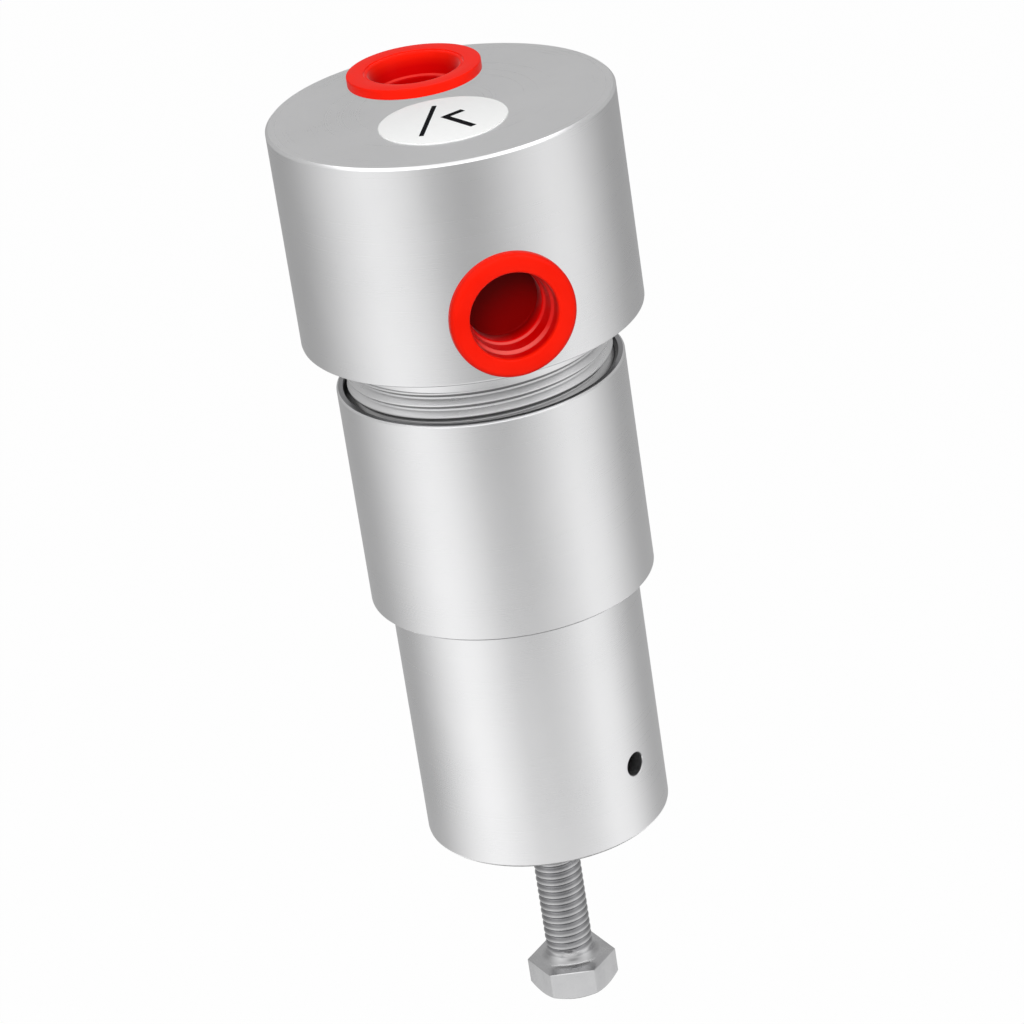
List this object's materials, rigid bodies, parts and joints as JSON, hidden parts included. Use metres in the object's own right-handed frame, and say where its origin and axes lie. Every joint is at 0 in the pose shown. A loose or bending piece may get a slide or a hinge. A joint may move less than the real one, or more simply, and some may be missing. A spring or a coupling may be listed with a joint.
{
  "type": "compressor regulator valve",
  "caption": "Diaphragm regulating valve for compressed air: turned aluminium head with two plugged pipe ports, a screwed spring housing below it and a hexagon adjusting screw.",
  "frame": {"origin": "on the valve's axis, at the plane of the spring housing's shoulder, where its barrel starts", "axes": "+Z along the valve's axis towards the head, -Y the way that the side port faces"},
  "size_m": [0.055, 0.057, 0.1612],
  "materials": {
    "turned_aluminium": "fine turned, satin",
    "zinc_plated_steel": "plated",
    "spring_steel": "shot blasted",
    "polished_ball_steel": "polished",
    "brass": "machined",
    "sintered_bronze": "sintered",
    "black_rubber": "matt",
    "white_nylon": "satin",
    "red_polythene": "soft gloss",
    "label_film": "satin film"
  },
  "bodies": {
    "housing": {"valve_body": "turned_aluminium", "spring_housing": "turned_aluminium", "nozzle_seat": "brass", "nozzle_o_ring": "black_rubber", "inlet_strainer": "sintered_bronze", "diaphragm": "black_rubber", "slip_ring": "white_nylon", "round_label": "label_film"},
    "diaphragm_set": {"pressure_plate": "zinc_plated_steel", "valve_pad": "black_rubber", "valve_stem": "brass", "spring_plate": "turned_aluminium", "stem_lock_washer": "zinc_plated_steel", "stem_nut": "zinc_plated_steel"},
    "spring_follower": {"range_spring": "spring_steel", "spring_button": "zinc_plated_steel", "thrust_ball": "polished_ball_steel"},
    "adjuster": {"adjusting_screw": "zinc_plated_steel"},
    "top_plug": {"top_port_plug": "red_polythene"},
    "side_plug": {"side_port_plug": "red_polythene"}
  },
  "joints": [
    {"name": "screw_turn", "type": "hinge", "parent": "spring_follower", "child": "adjuster", "pos_m": [0, 0, -0.0723], "axis": [0, 0, 1], "range_deg": [-2304, 2880]},
    {"name": "screw_advance", "type": "slide", "parent": "housing", "child": "spring_follower", "axis": [0, 0, 1], "range_m": [-0.0081, 0.0101], "deforming": ["range_spring"]},
    {"name": "valve_lift", "type": "slide", "parent": "housing", "child": "diaphragm_set", "axis": [0, 0, -1], "range_m": [0, 0.0012], "stiffness_N_per_m": 1500, "springref_m": -0.004, "deforming": ["diaphragm"]},
    {"name": "top_plug_pull", "type": "slide", "parent": "housing", "child": "top_plug", "axis": [0, 0, 1], "range_m": [0, 0.03]},
    {"name": "side_plug_pull", "type": "slide", "parent": "housing", "child": "side_plug", "axis": [0, -1, 0], "range_m": [0, 0.03]}
  ],
  "couplings": [
    {"joint": "screw_advance", "follows": "screw_turn", "m_per_rad": 0.00019894}
  ]
}
